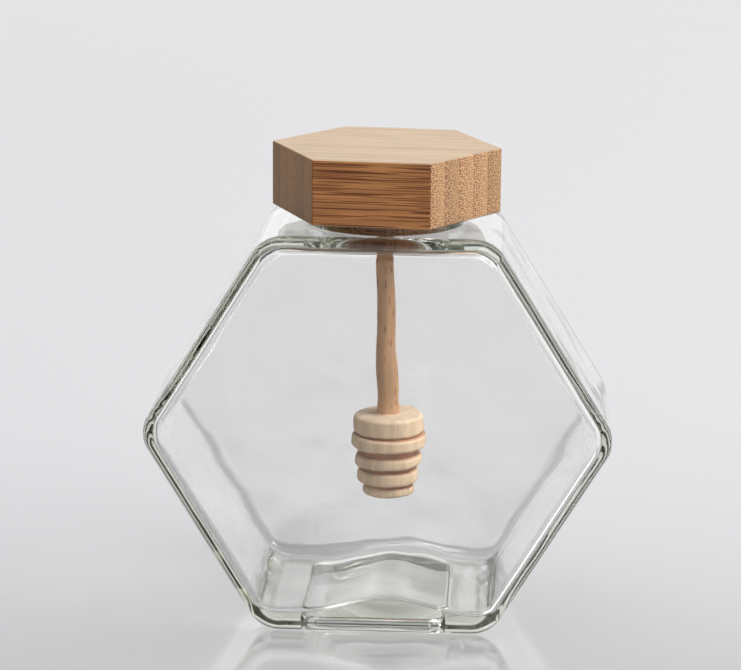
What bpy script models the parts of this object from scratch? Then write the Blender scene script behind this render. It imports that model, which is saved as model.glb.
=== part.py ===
# Hexagonal glass honey jar with a bamboo lid and a turned honey dipper.
# Units are metres, +Z is up, and the origin is the centre of the base.

import math

import bmesh
import bpy
from mathutils import Matrix, Vector

MM = 0.001
GAP = 0.3 * MM  # room between two pieces that touch

# Glass body: an upright hexagon that is flat in front and behind
BODY_WIDTH = 120.0 * MM  # across the side corners, before rounding
BODY_HEIGHT = 101.8 * MM
BODY_DEPTH = 54.0 * MM
BASE_WIDTH = 58.4 * MM
TOP_WIDTH = 57.0 * MM
SIDE_CORNER_HEIGHT = 51.2 * MM
CORNER_RADIUS = 8.0 * MM
FACE_FILLET = 5.0 * MM  # round edge of the front and the back

# Glass walls
WALL = 3.0 * MM
FACE_WALL = 2.8 * MM
CEILING = 3.4 * MM
FLOOR = 5.0 * MM
CAVITY_RADIUS = 6.0 * MM
CAVITY_FILLET = 3.0 * MM
CROWN_HEIGHT = 4.0 * MM  # the floor bulges upwards over the push-up
CROWN_HALF_WIDTH = 22.0 * MM
CROWN_CENTRE = 3.5 * MM

# Push-up: the shallow pocket under the base
PUSH_UP_LENGTH = 38.5 * MM
PUSH_UP_WIDTH = 42.0 * MM
PUSH_UP_DEPTH = 3.4 * MM
PUSH_UP_X = -0.7 * MM
PUSH_UP_RADIUS = 5.0 * MM
PUSH_UP_DRAFT = 0.8 * MM  # how far its walls lean in

# Neck: a short round collar, a little off the middle as moulded
NECK_X = 0.8 * MM
NECK_RADIUS = 20.0 * MM
NECK_HEIGHT = 2.9 * MM
NECK_LIP = 0.8 * MM
BORE_RADIUS = 16.2 * MM

# Lid: a hexagonal bamboo block with a round plug under it
LID_RADIUS = 29.1 * MM  # from the middle to a corner
LID_THICKNESS = 16.1 * MM
LID_TURN = math.radians(-5.7)
LID_EDGE = 0.35 * MM
PLUG_LENGTH = 6.4 * MM
PLUG_CHAMFER = 0.8 * MM

# Dipper: a tapered stick with a head of five rings
STICK_TOP_RADIUS = 2.05 * MM
STICK_FOOT_RADIUS = 3.15 * MM
STICK_LENGTH = 47.0 * MM
DIPPER_LEAN = math.radians(-1.3)
# Rings of the head: radius, then top and bottom below the stick's foot
HEAD_RINGS = (
    (9.0 * MM, 0.0 * MM, 4.7 * MM),
    (9.6 * MM, 5.0 * MM, 8.6 * MM),
    (8.6 * MM, 10.4 * MM, 13.4 * MM),
    (7.8 * MM, 14.4 * MM, 17.8 * MM),
    (6.6 * MM, 18.6 * MM, 21.0 * MM),
)
GROOVE_RADII = (8.0 * MM, 6.7 * MM, 6.4 * MM, 5.7 * MM)
RING_ROUNDING = 0.9 * MM

NECK_TOP = BODY_HEIGHT + NECK_HEIGHT
LID_BOTTOM = NECK_TOP + GAP
PLUG_BOTTOM = LID_BOTTOM - PLUG_LENGTH
PLUG_RADIUS = BORE_RADIUS - GAP

CORNER_STEPS = 7
FILLET_STEPS = 6
FLOOR_STEPS = 16
ROUND_STEPS = 72
DIPPER_STEPS = 40
OVERCUT = 5.0 * MM  # how far a cutter runs past what it cuts


def clear_scene():
    for item in list(bpy.data.objects):
        bpy.data.objects.remove(item, do_unlink=True)


def make_material(name, colour, roughness, transmission=0.0):
    material = bpy.data.materials.new(name)
    material.use_nodes = True
    shader = material.node_tree.nodes["Principled BSDF"]
    shader.inputs["Base Color"].default_value = (*colour, 1.0)
    shader.inputs["Roughness"].default_value = roughness
    shader.inputs["Metallic"].default_value = 0.0
    shader.inputs["Transmission Weight"].default_value = transmission
    return material


def add_object(name, bm, material=None, smooth_angle=None):
    bmesh.ops.recalc_face_normals(bm, faces=bm.faces)
    mesh = bpy.data.meshes.new(name)
    bm.to_mesh(mesh)
    bm.free()
    if material:
        mesh.materials.append(material)
    if smooth_angle:
        mesh.shade_smooth()
        mesh.set_sharp_from_angle(angle=math.radians(smooth_angle))
    item = bpy.data.objects.new(name, mesh)
    bpy.context.scene.collection.objects.link(item)
    return item


def as_cutter(item):
    item.hide_render = True
    item.display_type = "WIRE"
    return item


def combine(item, other, operation):
    modifier = item.modifiers.new(f"{operation.lower()} {other.name}", "BOOLEAN")
    modifier.operation = operation
    modifier.solver = "EXACT"
    modifier.object = other


# Hexagon outlines, as (x, z) points that run anticlockwise from the base's right corner

def body_corners():
    half_base = BASE_WIDTH / 2
    half_width = BODY_WIDTH / 2
    half_top = TOP_WIDTH / 2
    return [
        Vector((half_base, 0)),
        Vector((half_width, SIDE_CORNER_HEIGHT)),
        Vector((half_top, BODY_HEIGHT)),
        Vector((-half_top, BODY_HEIGHT)),
        Vector((-half_width, SIDE_CORNER_HEIGHT)),
        Vector((-half_base, 0)),
    ]


def inward_normals(corners):
    """Inward normals of each corner's incoming and outgoing edges."""
    normals = []
    for i, corner in enumerate(corners):
        edge = (corners[(i + 1) % len(corners)] - corner).normalized()
        normals.append(Vector((-edge.y, edge.x)))
    return [(normals[i - 1], normals[i]) for i in range(len(corners))]


def inset_corners(corners, distances):
    """Corners with each edge moved inwards; distances[i] is for the edge that leaves corner i."""
    moved = []
    for i, (before, after) in enumerate(inward_normals(corners)):
        det = before.x * after.y - before.y * after.x
        d_before = distances[i - 1]
        d_after = distances[i]
        shift_x = (d_before * after.y - d_after * before.y) / det
        shift_y = (before.x * d_after - after.x * d_before) / det
        moved.append(corners[i] + Vector((shift_x, shift_y)))
    return moved


def rounded_outline(corners, radius, inset, crown):
    """The outline with round corners, moved inwards by inset, its bottom edge raised by crown(x)."""
    points = []
    for corner, (before, after) in zip(corners, inward_normals(corners)):
        centre = corner + (before + after) * (radius / (1 + before.dot(after)))
        start = math.atan2(-before.y, -before.x)
        turn = math.acos(max(-1.0, min(1.0, before.dot(after))))
        for step in range(CORNER_STEPS + 1):
            angle = start + turn * step / CORNER_STEPS
            points.append(centre + Vector((math.cos(angle), math.sin(angle))) * (radius - inset))
    left = points[-1]
    right = points[0]
    for step in range(1, FLOOR_STEPS):
        point = left.lerp(right, step / FLOOR_STEPS)
        points.append(point + Vector((0, crown(point.x))))
    return points


def flat_floor(x):
    return 0.0


def crowned_floor(x):
    reach = min(1.0, abs(x - CROWN_CENTRE) / CROWN_HALF_WIDTH)
    return CROWN_HEIGHT * (1 + math.cos(math.pi * reach)) / 2


def pillow(corners, radius, depth, fillet, crown):
    """A closed slab with the hexagon outline, its front and back edges rounded."""
    rings = []
    for step in range(FILLET_STEPS + 1):
        angle = math.pi / 2 * step / FILLET_STEPS
        rings.append((fillet * (1 - math.sin(angle)), -depth / 2 + fillet * (1 - math.cos(angle))))
    rings += [(inset, -y) for inset, y in reversed(rings)]
    bm = bmesh.new()
    loops = []
    for inset, y in rings:
        outline = rounded_outline(corners, radius, inset, crown)
        loops.append([bm.verts.new((point.x, y, point.y)) for point in outline])
    count = len(loops[0])
    for near, far in zip(loops, loops[1:]):
        for i in range(count):
            j = (i + 1) % count
            bm.faces.new((near[i], near[j], far[j], far[i]))
    bm.faces.new(list(reversed(loops[0])))
    bm.faces.new(loops[-1])
    return bm


def turned(profile, centre_x=0.0, steps=ROUND_STEPS):
    """A lathe-turned body; profile is (radius, z) from the top of the axis to its bottom."""
    bm = bmesh.new()
    verts = [bm.verts.new((radius, 0, z)) for radius, z in profile]
    edges = [bm.edges.new(pair) for pair in zip(verts, verts[1:])]
    bmesh.ops.spin(
        bm,
        geom=verts + edges,
        cent=(0, 0, 0),
        axis=(0, 0, 1),
        angle=math.tau,
        steps=steps,
        use_merge=True,
    )
    bmesh.ops.remove_doubles(bm, verts=bm.verts, dist=0.001 * MM)
    bmesh.ops.translate(bm, verts=bm.verts, vec=(centre_x, 0, 0))
    return bm


# Glass

def neck_blank():
    profile = [
        (0, NECK_TOP),
        (NECK_RADIUS - NECK_LIP, NECK_TOP),
        (NECK_RADIUS - 0.3 * NECK_LIP, NECK_TOP - 0.3 * NECK_LIP),
        (NECK_RADIUS, NECK_TOP - NECK_LIP),
        (NECK_RADIUS, BODY_HEIGHT - CEILING / 2),
        (0, BODY_HEIGHT - CEILING / 2),
    ]
    return as_cutter(add_object("neck_blank", turned(profile, NECK_X)))


def bore_cutter():
    mouth = BORE_RADIUS + OVERCUT
    profile = [
        (0, NECK_TOP + OVERCUT),
        (mouth, NECK_TOP + OVERCUT - 0.5 * NECK_LIP),
        (BORE_RADIUS, NECK_TOP - 0.5 * NECK_LIP),
        (BORE_RADIUS, BODY_HEIGHT - CEILING - OVERCUT),
        (0, BODY_HEIGHT - CEILING - OVERCUT),
    ]
    return as_cutter(add_object("bore_cutter", turned(profile, NECK_X)))


def cavity_cutter():
    edge_walls = [WALL, WALL, CEILING, WALL, WALL, FLOOR]
    corners = inset_corners(body_corners(), edge_walls)
    depth = BODY_DEPTH - 2 * FACE_WALL
    bm = pillow(corners, CAVITY_RADIUS, depth, CAVITY_FILLET, crowned_floor)
    return as_cutter(add_object("cavity_cutter", bm))


def push_up_cutter():
    """A pocket with round corners whose walls lean in towards its ceiling."""
    bm = bmesh.new()
    loops = []
    for z, lean in ((-OVERCUT, 0.0), (0.0, 0.0), (PUSH_UP_DEPTH, PUSH_UP_DRAFT)):
        half_x = PUSH_UP_LENGTH / 2 - PUSH_UP_RADIUS
        half_y = PUSH_UP_WIDTH / 2 - PUSH_UP_RADIUS
        loop = []
        for quarter, (side_x, side_y) in enumerate(((1, 1), (-1, 1), (-1, -1), (1, -1))):
            for step in range(CORNER_STEPS + 1):
                angle = math.pi / 2 * (quarter + step / CORNER_STEPS)
                x = PUSH_UP_X + side_x * half_x + (PUSH_UP_RADIUS - lean) * math.cos(angle)
                y = side_y * half_y + (PUSH_UP_RADIUS - lean) * math.sin(angle)
                loop.append(bm.verts.new((x, y, z)))
        loops.append(loop)
    count = len(loops[0])
    for low, high in zip(loops, loops[1:]):
        for i in range(count):
            j = (i + 1) % count
            bm.faces.new((low[i], low[j], high[j], high[i]))
    bm.faces.new(list(reversed(loops[0])))
    bm.faces.new(loops[-1])
    return as_cutter(add_object("push_up_cutter", bm))


def make_jar():
    glass = make_material("clear_glass", (0.86, 0.92, 0.90), 0.03, transmission=1.0)
    bm = pillow(body_corners(), CORNER_RADIUS, BODY_DEPTH, FACE_FILLET, flat_floor)
    jar = add_object("glass_jar", bm, glass, smooth_angle=35)
    combine(jar, neck_blank(), "UNION")
    combine(jar, cavity_cutter(), "DIFFERENCE")
    combine(jar, bore_cutter(), "DIFFERENCE")
    combine(jar, push_up_cutter(), "DIFFERENCE")
    return jar


# Bamboo

def plug_blank():
    profile = [
        (0, LID_THICKNESS / 2),
        (PLUG_RADIUS, LID_THICKNESS / 2),
        (PLUG_RADIUS, PLUG_CHAMFER - PLUG_LENGTH),
        (PLUG_RADIUS - PLUG_CHAMFER, -PLUG_LENGTH),
        (0, -PLUG_LENGTH),
    ]
    return as_cutter(add_object("plug_blank", turned(profile)))


def make_lid():
    bamboo = make_material("bamboo", (0.62, 0.40, 0.20), 0.5)
    bm = bmesh.new()
    bmesh.ops.create_cone(
        bm,
        cap_ends=True,
        segments=6,
        radius1=LID_RADIUS,
        radius2=LID_RADIUS,
        depth=LID_THICKNESS,
        matrix=Matrix.Translation((0, 0, LID_THICKNESS / 2)) @ Matrix.Rotation(math.pi / 6, 4, "Z"),
    )
    bmesh.ops.bevel(
        bm,
        geom=bm.edges,
        offset=LID_EDGE,
        segments=2,
        profile=0.5,
        affect="EDGES",
    )
    lid = add_object("bamboo_lid", bm, bamboo, smooth_angle=25)
    plug = plug_blank()
    combine(lid, plug, "UNION")
    plug.parent = lid
    lid.location = (NECK_X, 0, LID_BOTTOM)
    lid.rotation_euler = (0, 0, LID_TURN)
    return lid


# Beech

def dipper_profile():
    """Half outline of the dipper, with z counted from the top of the stick."""
    profile = [
        (0, 0),
        (STICK_TOP_RADIUS - 0.3 * MM, 0),
        (STICK_TOP_RADIUS, -0.3 * MM),
        ((STICK_TOP_RADIUS + STICK_FOOT_RADIUS) / 2, -STICK_LENGTH / 2),
        (STICK_FOOT_RADIUS, -STICK_LENGTH),
    ]
    quarter = [0, math.pi / 4, math.pi / 2]
    for i, (radius, top, bottom) in enumerate(HEAD_RINGS):
        rounding = min(RING_ROUNDING, (bottom - top) / 2)
        inner = radius - rounding
        top_z = -STICK_LENGTH - top
        bottom_z = -STICK_LENGTH - bottom
        for angle in quarter:
            z = top_z - rounding * (1 - math.cos(angle))
            profile.append((inner + rounding * math.sin(angle), z))
        for angle in reversed(quarter):
            z = bottom_z + rounding * (1 - math.cos(angle))
            profile.append((inner + rounding * math.sin(angle), z))
        if i < len(GROOVE_RADII):
            profile.append((GROOVE_RADII[i], bottom_z))
            profile.append((GROOVE_RADII[i], -STICK_LENGTH - HEAD_RINGS[i + 1][1]))
        else:
            profile.append((0, bottom_z))
    return profile


def make_dipper():
    beech = make_material("beech", (0.70, 0.52, 0.36), 0.6)
    bm = turned(dipper_profile(), steps=DIPPER_STEPS)
    dipper = add_object("honey_dipper", bm, beech, smooth_angle=40)
    dipper.location = (NECK_X, 0, PLUG_BOTTOM - GAP)
    dipper.rotation_euler = (0, DIPPER_LEAN, 0)
    return dipper


def main():
    clear_scene()
    make_jar()
    make_lid()
    make_dipper()


main()
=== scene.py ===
import math

import bmesh
import bpy
from mathutils import Euler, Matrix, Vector


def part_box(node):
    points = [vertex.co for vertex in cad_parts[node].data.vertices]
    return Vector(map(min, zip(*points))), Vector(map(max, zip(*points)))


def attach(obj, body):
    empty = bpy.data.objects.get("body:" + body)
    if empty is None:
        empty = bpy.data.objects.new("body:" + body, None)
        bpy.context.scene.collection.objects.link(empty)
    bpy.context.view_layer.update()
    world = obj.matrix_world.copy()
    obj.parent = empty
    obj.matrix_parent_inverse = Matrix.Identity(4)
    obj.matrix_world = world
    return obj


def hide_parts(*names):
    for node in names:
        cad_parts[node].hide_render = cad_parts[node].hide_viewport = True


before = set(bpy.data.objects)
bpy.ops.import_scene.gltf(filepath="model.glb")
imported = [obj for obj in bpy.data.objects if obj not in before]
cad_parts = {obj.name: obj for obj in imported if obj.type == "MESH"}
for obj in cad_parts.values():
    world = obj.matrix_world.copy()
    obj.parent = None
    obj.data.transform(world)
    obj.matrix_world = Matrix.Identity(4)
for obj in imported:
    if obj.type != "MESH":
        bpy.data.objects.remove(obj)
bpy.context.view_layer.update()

mm = 0.001


# Small helpers: selecting in code, as a user would by clicking

def deselectAll():
    if bpy.context.mode != "OBJECT":
        bpy.ops.object.mode_set(mode="OBJECT")
    bpy.ops.object.select_all(action="DESELECT")


def makeActive(piece):
    deselectAll()
    piece.select_set(True)
    bpy.context.view_layer.objects.active = piece


def editOn(piece):
    makeActive(piece)
    bpy.ops.object.mode_set(mode="EDIT")


def editOff():
    bpy.ops.object.mode_set(mode="OBJECT")


def applyPlace(piece):
    makeActive(piece)
    bpy.ops.object.transform_apply(location=True, rotation=True, scale=True)


def pick(piece, kind, test):  # kind is verts, edges or faces; the piece is in edit mode
    modes = {"verts": "VERT", "edges": "EDGE", "faces": "FACE"}
    bpy.ops.mesh.select_mode(type=modes[kind])
    bpy.ops.mesh.select_all(action="DESELECT")
    mesh = bmesh.from_edit_mesh(piece.data)
    for item in getattr(mesh, kind):
        item.select_set(test(item))
    mesh.select_flush_mode()
    bmesh.update_edit_mesh(piece.data)


def applyModifier(piece, modifier):
    makeActive(piece)
    bpy.ops.object.modifier_apply(modifier=modifier.name)


def join(piece, tool, operation):  # UNION or DIFFERENCE, and the tool is used up
    cut = piece.modifiers.new(operation, "BOOLEAN")
    cut.operation = operation
    cut.solver = "EXACT"
    cut.object = tool
    applyModifier(piece, cut)
    bpy.data.objects.remove(tool, do_unlink=True)


def smooth(piece, angle):
    makeActive(piece)
    bpy.ops.object.shade_smooth_by_angle(angle=math.radians(angle))
    weigh = piece.modifiers.new("weigh", "WEIGHTED_NORMAL")  # keeps the big flat faces flat
    weigh.keep_sharp = True
    applyModifier(piece, weigh)


def closeUp(piece):
    editOn(piece)
    bpy.ops.mesh.select_all(action="SELECT")
    bpy.ops.mesh.remove_doubles(threshold=0.002 * mm)
    bpy.ops.mesh.normals_make_consistent(inside=False)
    editOff()


def turnPiece(name, profile, sides, centreX=0.0):
    # A lathe shape from (radius, z) steps: a disc, extruded and resized once for each step
    deselectAll()
    radius, z = profile[0]
    bpy.ops.mesh.primitive_circle_add(
        vertices=sides, radius=radius, fill_type="NGON", location=(centreX, 0, z)
    )
    piece = bpy.context.object
    piece.name = name
    applyPlace(piece)
    editOn(piece)
    bpy.ops.mesh.select_mode(type="FACE")
    bpy.ops.mesh.select_all(action="SELECT")
    for nextRadius, nextZ in profile[1:]:
        bpy.ops.mesh.extrude_region_move(TRANSFORM_OT_translate={"value": (0, 0, nextZ - z)})
        ratio = nextRadius / radius
        bpy.ops.transform.resize(value=(ratio, ratio, 1), center_override=(centreX, 0, nextZ))
        radius, z = nextRadius, nextZ
    editOff()
    closeUp(piece)
    return piece


# Hexagon outlines, as (x, z) corners that run anticlockwise from the base's right corner

def insetCorners(corners, walls):  # walls[i] is for the edge that leaves corner i
    inward = []
    for i, corner in enumerate(corners):
        edge = (corners[(i + 1) % 6] - corner).normalized()
        inward.append(Vector((-edge.y, edge.x)))
    moved = []
    for i, corner in enumerate(corners):
        before, after = inward[i - 1], inward[i]
        det = before.x * after.y - before.y * after.x
        shiftX = (walls[i - 1] * after.y - walls[i] * before.y) / det
        shiftZ = (before.x * walls[i] - after.x * walls[i - 1]) / det
        moved.append(corner + Vector((shiftX, shiftZ)))
    return moved


def hexSlab(name, corners, depth, cornerRounds, faceRound, steps, dense):
    middle = (corners[0].y + corners[2].y) / 2
    deselectAll()
    bpy.ops.mesh.primitive_cylinder_add(
        vertices=6,
        radius=corners[1].x,
        depth=depth,
        location=(0, 0, middle),
        rotation=(math.pi / 2, math.pi / 6, 0),
    )
    slab = bpy.context.object
    slab.name = name
    applyPlace(slab)
    for vert in slab.data.vertices:
        here = Vector((vert.co.x, vert.co.z))
        corner = min(corners, key=lambda c: (c - here).length)
        vert.co.x, vert.co.z = corner
    editOn(slab)
    for level, rounding in cornerRounds.items():
        def isCorner(edge):
            a, b = (vert.co for vert in edge.verts)
            along = abs(a.y - b.y) > 0.9 * depth
            return along and abs(a.z - corners[level].y) < mm and abs(a.z - b.z) < 0.01 * mm
        pick(slab, "edges", isCorner)
        bpy.ops.mesh.bevel(
            offset_type="OFFSET",
            offset=rounding * math.tan(math.pi / 6),
            segments=steps,
            profile=0.5,
            clamp_overlap=False,
        )
    if dense:
        longEdge = 15 * mm
        pick(slab, "edges", lambda e: e.calc_length() > longEdge and abs(e.verts[0].co.y - e.verts[1].co.y) < mm)
        bpy.ops.mesh.subdivide(number_cuts=dense)
    pick(slab, "edges", lambda e: abs(abs(e.verts[0].co.y + e.verts[1].co.y) - depth) < 0.01 * mm)
    bpy.ops.mesh.bevel(
        offset_type="OFFSET", offset=faceRound, segments=steps, profile=0.5, clamp_overlap=False
    )
    if dense:
        pick(slab, "edges", lambda e: abs(e.verts[0].co.y - e.verts[1].co.y) > 0.5 * depth)
        bpy.ops.mesh.subdivide(number_cuts=dense - 2)
        pick(slab, "faces", lambda f: abs(f.normal.y) > 0.999 and f.calc_area() > 0.001)
        size = 1.0
        for step in range(1, dense + 1):
            nextSize = 1 - step / (dense + 1)
            bpy.ops.mesh.extrude_region_move(TRANSFORM_OT_translate={"value": (0, 0, 0)})
            ratio = nextSize / size
            bpy.ops.transform.resize(value=(ratio, 1, ratio), center_override=(0, 0, middle))
            size = nextSize
        bpy.ops.mesh.merge(type="COLLAPSE")
    editOff()
    closeUp(slab)
    return slab


# Node tools

def newMaterial(name):
    material = bpy.data.materials.new(name)
    material.use_nodes = True
    tree = material.node_tree
    return material, tree, tree.nodes["Principled BSDF"], tree.nodes["Material Output"]


def addNode(tree, kind, settings=None, values=None):
    node = tree.nodes.new(kind)
    for key, value in (settings or {}).items():
        setattr(node, key, value)
    for key, value in (values or {}).items():
        if isinstance(value, bpy.types.NodeSocket):
            tree.links.new(value, node.inputs[key])
        else:
            node.inputs[key].default_value = value
    return node


def mathNode(tree, operation, first, second=0.0, clamp=False):
    values = {0: first, 1: second}
    return addNode(tree, "ShaderNodeMath", {"operation": operation, "use_clamp": clamp}, values).outputs[0]


def mixColour(tree, factor, first, second, blend="MIX"):
    settings = {"data_type": "RGBA", "blend_type": blend}
    return addNode(tree, "ShaderNodeMix", settings, {0: factor, 6: first, 7: second}).outputs[2]


def mixFloat(tree, factor, first, second):
    return addNode(tree, "ShaderNodeMix", {"data_type": "FLOAT"}, {0: factor, 2: first, 3: second}).outputs[0]


def rangeNode(tree, value, low, high, toLow=0.0, toHigh=1.0):
    settings = {"interpolation_type": "SMOOTHSTEP"}
    values = {0: value, 1: low, 2: high, 3: toLow, 4: toHigh}
    return addNode(tree, "ShaderNodeMapRange", settings, values).outputs[0]


def newGroup(name, inputs, outputs):
    group = bpy.data.node_groups.new(name, "ShaderNodeTree")
    for label, kind, value in inputs:
        socket = group.interface.new_socket(name=label, in_out="INPUT", socket_type=kind)
        if value is not None:
            socket.default_value = value
    for label, kind in outputs:
        group.interface.new_socket(name=label, in_out="OUTPUT", socket_type=kind)
    start = group.nodes.new("NodeGroupInput")
    end = group.nodes.new("NodeGroupOutput")
    return group, start.outputs, end.inputs


def placeGroup(tree, group, values):
    return addNode(tree, "ShaderNodeGroup", {"node_tree": group}, values).outputs


def colour(red, green, blue):  # 0 to 255, as a colour picker shows them
    linear = []
    for value in (red, green, blue):
        share = value / 255
        linear.append(share / 12.92 if share <= 0.04045 else ((share + 0.055) / 1.055) ** 2.4)
    return (*linear, 1.0)


# Wood effects that the bamboo and the beech share. The fibres run along X.

def makeFibreMarks():
    group, given, result = newGroup(
        "fibreMarks",
        [
            ("Vector", "NodeSocketVector", None),
            ("Length", "NodeSocketFloat", 0.02),
            ("Thickness", "NodeSocketFloat", 0.0006),
            ("Reach", "NodeSocketFloat", 0.3),
            ("Softness", "NodeSocketFloat", 0.1),
        ],
        [("Mask", "NodeSocketFloat"), ("Tone", "NodeSocketFloat")],
    )
    split = addNode(group, "ShaderNodeSeparateXYZ", values={0: given["Vector"]}).outputs
    x = mathNode(group, "DIVIDE", split[0], given["Length"])
    y = mathNode(group, "DIVIDE", split[1], given["Thickness"])
    z = mathNode(group, "DIVIDE", split[2], given["Thickness"])
    place = addNode(group, "ShaderNodeCombineXYZ", values={0: x, 1: y, 2: z}).outputs[0]
    cells = addNode(group, "ShaderNodeTexVoronoi", {"feature": "F1"}, {"Vector": place, "Scale": 1.0, "Randomness": 0.65})
    inner = mathNode(group, "SUBTRACT", given["Reach"], given["Softness"])
    outer = mathNode(group, "ADD", given["Reach"], given["Softness"])
    mask = rangeNode(group, cells.outputs["Distance"], inner, outer, 1.0, 0.0)
    tone = addNode(group, "ShaderNodeSeparateColor", values={0: cells.outputs["Color"]}).outputs[0]
    group.links.new(mask, result["Mask"])
    group.links.new(tone, result["Tone"])
    return group


def makeGrainTone():
    group, given, result = newGroup(
        "grainTone",
        [
            ("Vector", "NodeSocketVector", None),
            ("Length", "NodeSocketFloat", 0.05),
            ("Width", "NodeSocketFloat", 0.002),
            ("Detail", "NodeSocketFloat", 3.0),
        ],
        [("Value", "NodeSocketFloat")],
    )
    split = addNode(group, "ShaderNodeSeparateXYZ", values={0: given["Vector"]}).outputs
    x = mathNode(group, "DIVIDE", split[0], given["Length"])
    y = mathNode(group, "DIVIDE", split[1], given["Width"])
    z = mathNode(group, "DIVIDE", split[2], given["Width"])
    place = addNode(group, "ShaderNodeCombineXYZ", values={0: x, 1: y, 2: z}).outputs[0]
    values = {"Vector": place, "Scale": 1.0, "Detail": given["Detail"], "Roughness": 0.6}
    cloud = addNode(group, "ShaderNodeTexNoise", values=values).outputs["Fac"]
    group.links.new(rangeNode(group, cloud, 0.3, 0.7), result["Value"])
    return group


fibreMarks = makeFibreMarks()
grainTone = makeGrainTone()
print("helpers and wood effects are ready")


# Glass jar: sizes in metres, the height and the depth read from the solid

jarLow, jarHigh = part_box("glass_jar")
lidLow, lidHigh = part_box("bamboo_lid")

glassJar = {
    "width": 120.0 * mm,  # across the side corners, before rounding
    "baseWidth": 58.4 * mm,
    "topWidth": 57.0 * mm,
    "sideCornerHeight": 51.2 * mm,
    "depth": jarHigh.y - jarLow.y,
    "neckHeight": 2.9 * mm,
    "cornerRound": 8.0 * mm,
    "faceRound": 5.0 * mm,
    "wall": 3.0 * mm,
    "faceWall": 2.8 * mm,
    "ceiling": 3.4 * mm,
    "floor": 5.0 * mm,
    "innerRounds": {0: 5.0 * mm, 1: 7.0 * mm, 2: 6.0 * mm},  # at the floor, the sides, the top
    "innerFaceRound": 2.2 * mm,
    "crownHeight": 4.0 * mm,
    "crownHalfWidth": 22.0 * mm,
    "crownCentre": 3.5 * mm,
    "waveHeight": 0.8 * mm,  # how uneven the inside of the front and the back is
    "waveLength": 14.0 * mm,
    "sideWaves": 0.3,  # share of that height on the other walls
    "neckX": 0.8 * mm,
    "neckRadius": 20.0 * mm,
    "neckLip": 0.8 * mm,
    "boreRadius": 16.2 * mm,
    "pushUpSize": (38.5 * mm, 42.0 * mm, 3.4 * mm),
    "pushUpCentre": -0.7 * mm,
    "pushUpRound": 5.0 * mm,
    "tint": (0.63, 0.655, 0.565, 1.0),  # what the glass lets through in its depth
    "tintDensity": 24.0,
}


def makeGlass():
    material, tree, shader, output = newMaterial("clearGlass")
    shader.inputs["Base Color"].default_value = (1, 1, 1, 1)
    shader.inputs["Metallic"].default_value = 0.0
    shader.inputs["Transmission Weight"].default_value = 1.0
    shader.inputs["IOR"].default_value = 1.5
    place = addNode(tree, "ShaderNodeTexCoord").outputs["Object"]
    smudge = addNode(tree, "ShaderNodeTexNoise", values={"Vector": place, "Scale": 45.0, "Detail": 4.0})
    roughness = rangeNode(tree, smudge.outputs["Fac"], 0.55, 0.8, 0.0, 0.006)
    tree.links.new(roughness, shader.inputs["Roughness"])
    swell = addNode(tree, "ShaderNodeTexNoise", values={"Vector": place, "Scale": 70.0, "Detail": 1.0})
    bump = addNode(
        tree,
        "ShaderNodeBump",
        values={"Strength": 0.5, "Distance": 0.05 * mm, "Height": swell.outputs["Fac"]},
    )
    tree.links.new(bump.outputs[0], shader.inputs["Normal"])
    absorb = addNode(
        tree,
        "ShaderNodeVolumeAbsorption",
        values={"Color": glassJar["tint"], "Density": glassJar["tintDensity"]},
    )
    tree.links.new(absorb.outputs[0], output.inputs["Volume"])
    return material


def jarCorners():
    g = glassJar
    bodyTop = jarHigh.z - g["neckHeight"]
    right = [
        Vector((g["baseWidth"] / 2, 0)),
        Vector((g["width"] / 2, g["sideCornerHeight"])),
        Vector((g["topWidth"] / 2, bodyTop)),
    ]
    left = [Vector((-corner.x, corner.y)) for corner in reversed(right)]
    return right + left


def makeCavity():
    g = glassJar
    corners = insetCorners(
        jarCorners(), [g["wall"], g["wall"], g["ceiling"], g["wall"], g["wall"], g["floor"]]
    )
    depth = g["depth"] - 2 * g["faceWall"]
    cavity = hexSlab("cavity", corners, depth, g["innerRounds"], g["innerFaceRound"], 7, 18)
    for vert in cavity.data.vertices:  # the floor swells up over the push-up
        reach = min(1.0, abs(vert.co.x - g["crownCentre"]) / g["crownHalfWidth"])
        fade = max(0.0, 1 - (vert.co.z - g["floor"]) / (20 * mm))
        vert.co.z += g["crownHeight"] * (1 + math.cos(math.pi * reach)) / 2 * fade
    waves = bpy.data.textures.new("glassWaves", "CLOUDS")
    waves.noise_scale = g["waveLength"]
    uneven = cavity.modifiers.new("waves", "DISPLACE")
    uneven.texture = waves
    uneven.strength = g["waveHeight"]
    uneven.mid_level = 0.5
    amount = cavity.vertex_groups.new(name="amount")
    for vert in cavity.data.vertices:
        onFace = abs(abs(vert.co.y) - depth / 2) < 0.1 * mm
        amount.add([vert.index], 1.0 if onFace else g["sideWaves"], "REPLACE")
    uneven.vertex_group = amount.name
    applyModifier(cavity, uneven)
    return cavity


def makePushUp():
    g = glassJar
    sizeX, sizeY, depth = g["pushUpSize"]
    deselectAll()
    centre = (g["pushUpCentre"], 0, 0)
    bpy.ops.mesh.primitive_cube_add(size=1, location=centre, scale=(sizeX, sizeY, 2 * depth))
    pocket = bpy.context.object
    applyPlace(pocket)
    editOn(pocket)
    pick(pocket, "edges", lambda e: abs(e.verts[0].co.z - e.verts[1].co.z) > depth)
    bpy.ops.mesh.bevel(offset=g["pushUpRound"], segments=8, profile=0.5)
    pick(pocket, "faces", lambda f: f.normal.z > 0.9)
    bpy.ops.transform.resize(value=(0.95, 0.95, 1), center_override=(0, 0, depth))
    pick(pocket, "edges", lambda e: all(v.co.z > 0.9 * depth for v in e.verts))
    bpy.ops.mesh.bevel(offset=0.8 * mm, segments=3, profile=0.5)
    editOff()
    closeUp(pocket)
    return pocket


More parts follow.
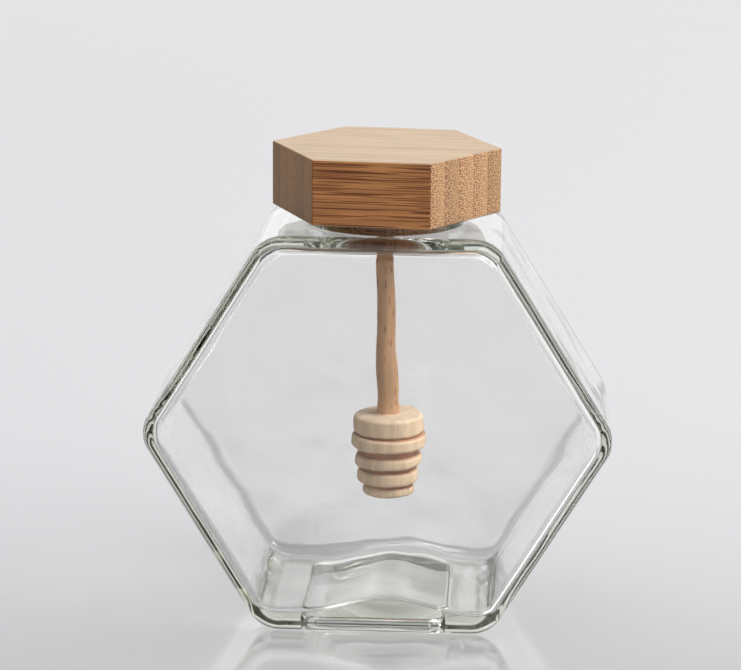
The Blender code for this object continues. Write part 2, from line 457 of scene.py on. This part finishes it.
def makeNeckAndBore():
    g = glassJar
    radius, lip, top = g["neckRadius"], g["neckLip"], jarHigh.z
    bodyTop = top - g["neckHeight"]
    neck = turnPiece(
        "neck",
        [
            (radius, bodyTop - 1.5 * mm),
            (radius, top - lip),
            (radius - 0.1 * lip, top - 0.6 * lip),
            (radius - 0.4 * lip, top - 0.2 * lip),
            (radius - lip, top),
        ],
        96,
        g["neckX"],
    )
    bore = turnPiece(
        "bore",
        [
            (g["boreRadius"], bodyTop - g["ceiling"] - 5 * mm),
            (g["boreRadius"], top - 0.5 * lip),
            (g["boreRadius"] + 5 * mm, top + 5 * mm),
        ],
        96,
        g["neckX"],
    )
    return neck, bore


def makeJar():
    g = glassJar
    rounds = {level: g["cornerRound"] for level in (0, 1, 2)}
    jar = hexSlab("hexJar", jarCorners(), g["depth"], rounds, g["faceRound"], 8, 0)
    neck, bore = makeNeckAndBore()
    join(jar, neck, "UNION")
    join(jar, makeCavity(), "DIFFERENCE")
    join(jar, bore, "DIFFERENCE")
    join(jar, makePushUp(), "DIFFERENCE")
    closeUp(jar)
    smooth(jar, 35)
    jar.data.materials.clear()
    jar.data.materials.append(makeGlass())
    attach(jar, "root")
    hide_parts("glass_jar")
    return jar


jar = makeJar()
print("glass jar:", len(jar.data.polygons), "faces")


# Bamboo lid: a hexagonal block of glued strips with a round plug under it

bambooLid = {
    "radius": 29.1 * mm,  # from the middle to a corner
    "bottom": jarHigh.z + 0.1 * mm,
    "plugBottom": lidLow.z,
    "turn": math.radians(-5.7),
    "edgeRound": 0.4 * mm,
    "plugRadius": 15.9 * mm,
    "plugChamfer": 0.8 * mm,
    "strip": 5.085 * mm,  # thickness of one glued strip
    "firstStrip": 25.4 * mm,  # from the middle to the first strip's face
    "dotSpacing": 0.62 * mm,  # between the fibres' ends on the end grain
    "dotReach": (0.34, 0.22),  # share of that spacing, from one side of a strip to the other
    "streakSpacing": 0.4 * mm,  # between the fibres along the front and the top
    "fibreLength": 24.0 * mm,
    "endGrain": colour(214, 169, 122),
    # painted shade: the left end face is darker and more saturated than the right end
    "paintedLeftShade": colour(202, 148, 90),
    "longGrain": colour(214, 146, 88),
    "topGrain": colour(224, 198, 168),
    "fibreDark": colour(108, 44, 14),
}


def makeBamboo():
    b = bambooLid
    material, tree, shader, output = newMaterial("bambooStrips")
    place = addNode(tree, "ShaderNodeTexCoord")
    turned = addNode(
        tree,
        "ShaderNodeMapping",
        {"vector_type": "TEXTURE"},
        {
            "Vector": place.outputs["Object"],
            "Location": (glassJar["neckX"], 0, 0),
            "Rotation": (0, 0, b["turn"]),
        },
    ).outputs[0]
    x, y, z = addNode(tree, "ShaderNodeSeparateXYZ", values={0: turned}).outputs[:3]
    facing = addNode(tree, "ShaderNodeSeparateXYZ", values={0: place.outputs["Normal"]}).outputs
    isLong = rangeNode(tree, mathNode(tree, "ABSOLUTE", facing[1]), 0.75, 0.9)
    isTop = rangeNode(tree, mathNode(tree, "ABSOLUTE", facing[2]), 0.6, 0.9)
    strips = mathNode(tree, "DIVIDE", mathNode(tree, "ADD", y, b["firstStrip"]), b["strip"])
    index = mathNode(tree, "FLOOR", strips)
    across = mathNode(tree, "FRACT", strips)
    random = addNode(tree, "ShaderNodeTexWhiteNoise", {"noise_dimensions": "1D"}, {"W": index})
    offset = mathNode(tree, "MULTIPLY", random.outputs["Value"], 0.4)
    moved = addNode(
        tree,
        "ShaderNodeCombineXYZ",
        values={0: mathNode(tree, "ADD", x, offset), 1: y, 2: mathNode(tree, "ADD", z, offset)},
    ).outputs[0]
    reach = rangeNode(tree, across, 0.0, 1.0, 0.46, 0.37)  # fibres crowd to one side of a strip
    marks = placeGroup(
        tree,
        fibreMarks,
        {
            "Vector": moved,
            "Length": b["fibreLength"],
            "Thickness": b["streakSpacing"],
            "Reach": reach,
            "Softness": 0.05,
        },
    )
    ends = addNode(tree, "ShaderNodeCombineXYZ", values={0: y, 1: mathNode(tree, "ADD", z, offset)}).outputs[0]
    dots = addNode(
        tree,
        "ShaderNodeTexVoronoi",
        {"feature": "F1", "voronoi_dimensions": "2D"},
        {"Vector": ends, "Scale": 1 / b["dotSpacing"], "Randomness": 0.65},
    )
    fromEdge = mathNode(tree, "SUBTRACT", dots.outputs["Distance"], rangeNode(tree, across, 0.0, 1.0, *b["dotReach"]))
    dotMask = rangeNode(tree, fromEdge, -0.06, 0.06, 0.9, 0.0)
    tone = placeGroup(tree, grainTone, {"Vector": moved, "Length": 0.05, "Width": 0.7 * mm, "Detail": 4.0})
    # painted shade on the left end face: a darker colour here, and fainter dots further down
    leftShadeMask = rangeNode(tree, facing[0], -0.6, -0.2, 1.0, 0.0)
    base = mixColour(tree, leftShadeMask, b["endGrain"], b["paintedLeftShade"])
    base = mixColour(tree, isLong, base, b["longGrain"])
    base = mixColour(tree, isTop, base, b["topGrain"])
    stripTone = rangeNode(tree, random.outputs["Value"], 0.0, 1.0, 0.88, 1.06)
    stripTone = mixFloat(tree, isTop, stripTone, 1.0)
    grain = rangeNode(tree, tone["Value"], 0.0, 1.0, 0.82, 1.1)
    level = mathNode(tree, "MULTIPLY", stripTone, grain)
    shade = addNode(tree, "ShaderNodeCombineColor", values={0: level, 1: level, 2: level}).outputs[0]
    base = mixColour(tree, 1.0, base, shade, "MULTIPLY")
    streaks = mathNode(tree, "MULTIPLY", marks["Mask"], rangeNode(tree, marks["Tone"], 0.1, 0.9, 0.6, 0.95))
    streaks = mathNode(tree, "MULTIPLY", streaks, mixFloat(tree, isTop, 1.0, 0.22))
    endDots = mathNode(tree, "MULTIPLY", dotMask, mixFloat(tree, leftShadeMask, 1.0, 0.5))  # painted shade: the dots are fainter on the shaded left end
    alongFibres = mathNode(tree, "MAXIMUM", isLong, isTop)
    strength = mixFloat(tree, alongFibres, endDots, streaks)
    base = mixColour(tree, strength, base, b["fibreDark"])
    glue = mathNode(tree, "LESS_THAN", across, 0.03)
    base = mixColour(tree, mathNode(tree, "MULTIPLY", glue, 0.35), base, b["fibreDark"])
    tree.links.new(base, shader.inputs["Base Color"])
    roughness = rangeNode(tree, tone["Value"], 0.0, 1.0, 0.42, 0.55)
    tree.links.new(roughness, shader.inputs["Roughness"])
    bump = addNode(
        tree,
        "ShaderNodeBump",
        {"invert": True},
        {"Strength": 0.35, "Distance": 0.05 * mm, "Height": strength},
    )
    tree.links.new(bump.outputs[0], shader.inputs["Normal"])
    return material


def makeLid():
    b = bambooLid
    deselectAll()
    bpy.ops.mesh.primitive_cylinder_add(
        vertices=6,
        radius=b["radius"],
        depth=lidHigh.z - b["bottom"],
        location=(0, 0, (lidHigh.z + b["bottom"]) / 2),
        rotation=(0, 0, math.pi / 6),
    )
    lid = bpy.context.object
    lid.name = "bambooLid"
    applyPlace(lid)
    editOn(lid)
    bpy.ops.mesh.select_all(action="SELECT")
    bpy.ops.mesh.bevel(offset=b["edgeRound"], segments=3, profile=0.5)
    editOff()
    plug = turnPiece(
        "plug",
        [
            (b["plugRadius"] - b["plugChamfer"], b["plugBottom"]),
            (b["plugRadius"] - 0.3 * b["plugChamfer"], b["plugBottom"] + 0.3 * b["plugChamfer"]),
            (b["plugRadius"], b["plugBottom"] + b["plugChamfer"]),
            (b["plugRadius"], b["bottom"] + 3 * mm),
        ],
        96,
    )
    join(lid, plug, "UNION")
    lid.rotation_euler.z = b["turn"]
    lid.location.x = glassJar["neckX"]
    applyPlace(lid)
    smooth(lid, 25)
    lid.data.materials.clear()
    lid.data.materials.append(makeBamboo())
    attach(lid, "root")
    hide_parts("bamboo_lid")
    return lid


lid = makeLid()
print("bamboo lid:", len(lid.data.polygons), "faces")


# Honey dipper: a tapered stick with five turned rings

honeyDipper = {
    "top": bambooLid["plugBottom"],
    "lean": math.radians(-1.3),
    "stickTop": 2.05 * mm,
    "stickFoot": 3.15 * mm,
    "stickLength": 47.3 * mm,
    "rings": (  # radius, then top and bottom below the stick's foot
        (9.0 * mm, 0.0 * mm, 4.7 * mm),
        (9.6 * mm, 5.0 * mm, 8.6 * mm),
        (8.6 * mm, 10.4 * mm, 13.4 * mm),
        (7.8 * mm, 14.4 * mm, 17.8 * mm),
        (6.6 * mm, 18.6 * mm, 21.0 * mm),
    ),
    "grooves": (8.0 * mm, 6.7 * mm, 6.4 * mm, 5.7 * mm),
    "ringRound": 1.0 * mm,
    "wood": colour(197, 154, 115),
    "headWood": colour(227, 200, 168),
    "endWood": colour(228, 206, 180),
    "fleck": colour(136, 78, 50),
    # painted shade for the recessed grooves between the rings
    "paintedGrooveShade": colour(178, 112, 76),
}


def makeBeech():
    d = honeyDipper
    material, tree, shader, output = newMaterial("turnedBeech")
    place = addNode(tree, "ShaderNodeTexCoord")
    fibres = addNode(
        tree,
        "ShaderNodeMapping",
        values={"Vector": place.outputs["Object"], "Rotation": (0, math.pi / 2, 0)},
    ).outputs[0]
    flecks = placeGroup(
        tree,
        fibreMarks,
        {"Vector": fibres, "Length": 4.0 * mm, "Thickness": 0.8 * mm, "Reach": 0.3, "Softness": 0.08},
    )
    tone = placeGroup(tree, grainTone, {"Vector": fibres, "Length": 0.03, "Width": 2.2 * mm, "Detail": 3.0})
    facing = addNode(tree, "ShaderNodeSeparateXYZ", values={0: place.outputs["Normal"]}).outputs[2]
    isEnd = rangeNode(tree, mathNode(tree, "ABSOLUTE", facing), 0.6, 0.9)
    z = addNode(tree, "ShaderNodeSeparateXYZ", values={0: place.outputs["Object"]}).outputs[2]
    foot = d["top"] - d["stickLength"]
    isHead = rangeNode(tree, z, foot, foot + 0.5 * mm, 1.0, 0.0)
    base = mixColour(tree, isHead, d["wood"], d["headWood"])
    base = mixColour(tree, isEnd, base, d["endWood"])
    for (radius, top, bottom), nextRing in zip(d["rings"], d["rings"][1:]):  # painted shade in the recessed grooves between the rings
        middle, half = (bottom + nextRing[1]) / 2, (nextRing[1] - bottom) / 2 + 0.2 * mm
        offset = mathNode(tree, "ABSOLUTE", mathNode(tree, "ADD", z, middle - foot))
        grooveShadeMask = rangeNode(tree, offset, 0.6 * half, 1.3 * half, 0.7, 0.0)
        base = mixColour(tree, grooveShadeMask, base, d["paintedGrooveShade"])
    level = rangeNode(tree, tone["Value"], 0.0, 1.0, 0.86, 1.05)
    shade = addNode(tree, "ShaderNodeCombineColor", values={0: level, 1: level, 2: level}).outputs[0]
    base = mixColour(tree, 1.0, base, shade, "MULTIPLY")
    strength = mathNode(tree, "MULTIPLY", flecks["Mask"], rangeNode(tree, flecks["Tone"], 0.2, 0.9, 0.0, 0.9))
    strength = mathNode(tree, "MULTIPLY", strength, mixFloat(tree, isHead, 1.0, 0.15))
    base = mixColour(tree, strength, base, d["fleck"])
    tree.links.new(base, shader.inputs["Base Color"])
    tree.links.new(rangeNode(tree, tone["Value"], 0.0, 1.0, 0.55, 0.7), shader.inputs["Roughness"])
    bump = addNode(
        tree,
        "ShaderNodeBump",
        {"invert": True},
        {"Strength": 0.3, "Distance": 0.05 * mm, "Height": flecks["Mask"]},
    )
    tree.links.new(bump.outputs[0], shader.inputs["Normal"])
    return material


def dipperProfile():  # from the foot of the head up to the top of the stick
    d = honeyDipper
    foot = d["top"] - d["stickLength"]
    profile = []
    arc = [math.pi / 2 * step / 5 for step in range(6)]
    grooves = list(d["grooves"]) + [None]
    for (radius, top, bottom), groove in reversed(list(zip(d["rings"], grooves))):
        rounding = min(d["ringRound"], (bottom - top) / 2)
        core = radius - rounding
        if groove:
            profile.append((groove, foot - bottom))
        for angle in arc:
            profile.append((core + rounding * math.sin(angle), foot - bottom + rounding * (1 - math.cos(angle))))
        for angle in reversed(arc):
            profile.append((core + rounding * math.sin(angle), foot - top - rounding * (1 - math.cos(angle))))
        above = d["rings"].index((radius, top, bottom)) - 1
        if above >= 0:
            profile.append((d["grooves"][above], foot - top))
    profile.append((d["stickFoot"] + 0.3 * mm, foot))
    profile.append((d["stickFoot"], foot + 0.4 * mm))
    for step in range(1, 9):
        share = step / 8
        radius = d["stickFoot"] + (d["stickTop"] - d["stickFoot"]) * share
        profile.append((radius, foot + d["stickLength"] * share))
    return profile


def makeDipper():
    d = honeyDipper
    dipper = turnPiece("honeyDipper", dipperProfile(), 64)
    bpy.context.scene.cursor.location = (0, 0, d["top"])
    makeActive(dipper)
    bpy.ops.object.origin_set(type="ORIGIN_CURSOR")
    dipper.rotation_euler.y = d["lean"]
    dipper.location.x = glassJar["neckX"]
    applyPlace(dipper)
    smooth(dipper, 40)
    dipper.data.materials.clear()
    dipper.data.materials.append(makeBeech())
    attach(dipper, "root")
    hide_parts("honey_dipper")
    return dipper


dipper = makeDipper()
print("honey dipper:", len(dipper.data.polygons), "faces")


# Studio: floor, lights and camera

studio = {
    "floorSize": 9.0,
    "floorGap": 0.2 * mm,
    "floorColour": colour(222, 222, 225),
    "floorRoughness": 0.12,
    "floorMetallic": 0.35,  # polished, so that it mirrors what stands on it
    # name: place, size, power in watts, colour, and whether it lights the dipper alone
    "lights": {
        "softbox": ((1.0, -0.35, 1.3), 1.6, 30.0, (1.0, 0.99, 0.97), False),
        "dipperFill": ((-0.55, -0.75, 0.1), 0.9, 3.0, (1.0, 0.98, 0.96), True),
    },
    "lightTarget": (0, 0, 0.06),
    # a bright low backdrop stands behind and to the right, and all else is dim
    "brightSide": (0.30, 0.95, 0.0),
    "sideFade": (-0.25, 0.3),
    "backdropFade": (0.28, 0.43),  # height over the horizon, as the sine of the angle
    "aboveBackdrop": 0.12,
    "ceilingFade": (0.8, 0.9),
    "bright": colour(246, 246, 247),
    "dim": colour(30, 30, 30),
    "strength": 1.1,
    "lightBounces": 64,  # light takes many turns inside the walls
}

view = {
    "azimuth": 2.839,
    "elevation": 14.055,
    "roll": 0.465,
    "distance": 0.6754,
    "target": (-2.82 * mm, -0.14 * mm, 71.75 * mm),
    "focal": 2645.5 / 741 * 36,  # millimetres, for a 36 mm sensor across 741 pixels
}


def makeFloor():
    deselectAll()
    bpy.ops.mesh.primitive_plane_add(size=studio["floorSize"], location=(0, 1.0, -studio["floorGap"]))
    floor = bpy.context.object
    floor.name = "studioFloor"
    applyPlace(floor)
    material, tree, shader, output = newMaterial("paleFloor")
    shader.inputs["Base Color"].default_value = studio["floorColour"]
    shader.inputs["Roughness"].default_value = studio["floorRoughness"]
    shader.inputs["Metallic"].default_value = studio["floorMetallic"]
    floor.data.materials.append(material)


def makeLamps():
    target = Vector(studio["lightTarget"])
    for name, (place, size, power, tint, dipperAlone) in studio["lights"].items():
        lamp = bpy.data.lights.new(name, "AREA")
        lamp.shape = "SQUARE"
        lamp.size = size
        lamp.energy = power
        lamp.color = tint
        item = bpy.data.objects.new(name, lamp)
        item.location = place
        item.rotation_euler = (target - Vector(place)).to_track_quat("-Z", "Y").to_euler()
        bpy.context.scene.collection.objects.link(item)
        clear = bpy.data.collections.new(name + "PassesThrough")
        clear.objects.link(jar)
        clear.collection_objects[0].light_linking.link_state = "EXCLUDE"
        item.light_linking.blocker_collection = clear  # clear glass throws no solid shadow
        if dipperAlone:
            lit = bpy.data.collections.new(name + "Lights")
            lit.objects.link(dipper)
            item.light_linking.receiver_collection = lit


def makeBackdropLight():
    world = bpy.data.worlds.new("studioWorld")
    world.use_nodes = True
    tree = world.node_tree
    sky = tree.nodes["Background"]
    place = addNode(tree, "ShaderNodeTexCoord").outputs["Generated"]
    settings = {"operation": "DOT_PRODUCT"}
    side = addNode(tree, "ShaderNodeVectorMath", settings, {0: place, 1: studio["brightSide"]})
    height = addNode(tree, "ShaderNodeSeparateXYZ", values={0: place}).outputs[2]
    behind = rangeNode(tree, side.outputs["Value"], *studio["sideFade"])
    low = rangeNode(tree, height, *studio["backdropFade"], 1.0, studio["aboveBackdrop"])
    ceiling = rangeNode(tree, height, *studio["ceilingFade"])
    share = mathNode(tree, "MAXIMUM", mathNode(tree, "MULTIPLY", behind, low), ceiling)
    tree.links.new(mixColour(tree, share, studio["dim"], studio["bright"]), sky.inputs["Color"])
    sky.inputs["Strength"].default_value = studio["strength"]
    bpy.context.scene.world = world


def makeCamera():
    azimuth, elevation, roll = (math.radians(view[key]) for key in ("azimuth", "elevation", "roll"))
    turn = Euler((0, 0, azimuth)).to_matrix() @ Euler((math.pi / 2 - elevation, 0, 0)).to_matrix()
    turn = turn @ Euler((0, 0, roll)).to_matrix()
    lens = bpy.data.cameras.new("photoCamera")
    lens.lens = view["focal"]
    lens.sensor_width = 36.0
    lens.clip_start = 0.05
    lens.clip_end = 50.0
    camera = bpy.data.objects.new("photoCamera", lens)
    camera.rotation_euler = turn.to_euler()
    camera.location = Vector(view["target"]) + turn @ Vector((0, 0, view["distance"]))
    bpy.context.scene.collection.objects.link(camera)
    bpy.context.scene.camera = camera


makeFloor()
makeLamps()
makeBackdropLight()
makeCamera()
bpy.context.scene.view_settings.view_transform = "Standard"
for kind in ("max_bounces", "glossy_bounces", "transmission_bounces"):
    setattr(bpy.context.scene.cycles, kind, studio["lightBounces"])
print("studio is ready")
